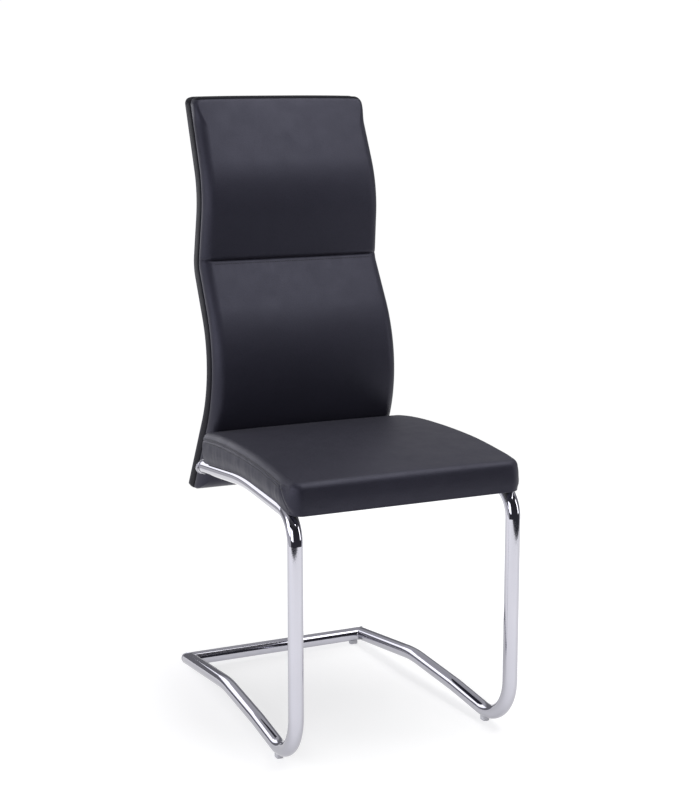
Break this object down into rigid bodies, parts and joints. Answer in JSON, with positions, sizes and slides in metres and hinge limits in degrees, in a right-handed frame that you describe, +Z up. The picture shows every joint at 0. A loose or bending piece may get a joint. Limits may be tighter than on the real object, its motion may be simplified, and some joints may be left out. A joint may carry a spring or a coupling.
{
  "type": "cantilever chair",
  "caption": "Cantilever dining chair: high curved padded back and padded seat in black faux leather on a bent chrome tube frame with an open rear.",
  "frame": {"origin": "on the floor, under the middle of the chair's bounding box", "axes": "+Z up, the chair's front faces -Y, +X is the viewer's right when looking at the front along +Y; symmetric about X = 0"},
  "size_m": [0.4178, 0.5761, 1.061],
  "materials": {
    "chrome": "polished",
    "zinc_steel": "zinc plated",
    "grey_plastic": "smoky clear polyethylene",
    "plywood": "raw birch plywood",
    "foam": "open-cell foam",
    "leather_black": "satin grained faux leather",
    "black_lining": "black non-woven lining"
  },
  "bodies": {
    "root": {"side_tube_left": "chrome", "side_tube_right": "chrome", "rear_floor_tube": "chrome", "front_glide_left": "grey_plastic", "front_glide_right": "grey_plastic", "rear_glide_left": "grey_plastic", "rear_glide_right": "grey_plastic", "rail_end_disc_left": "chrome", "rail_end_disc_right": "chrome", "back_bracket_left": "zinc_steel", "back_bracket_right": "zinc_steel", "seat_cross_tube_front": "chrome", "seat_cross_tube_rear": "chrome", "under_seat_cover": "black_lining", "seat_board": "plywood", "seat_foam": "foam", "seat_cover_top": "leather_black", "seat_side_band": "leather_black", "seat_bolts": "zinc_steel", "seat_washers": "zinc_steel", "seat_insert_nuts": "zinc_steel", "back_board": "plywood", "back_foam_lower": "foam", "back_foam_upper": "foam", "back_cover_lower": "leather_black", "back_cover_upper": "leather_black", "back_side_band": "leather_black", "back_cover_rear": "leather_black", "back_rear_padding": "foam", "back_bottom_strip": "leather_black", "back_bolts": "zinc_steel", "back_washers": "zinc_steel", "back_insert_nuts": "zinc_steel"}
  },
  "joints": []
}
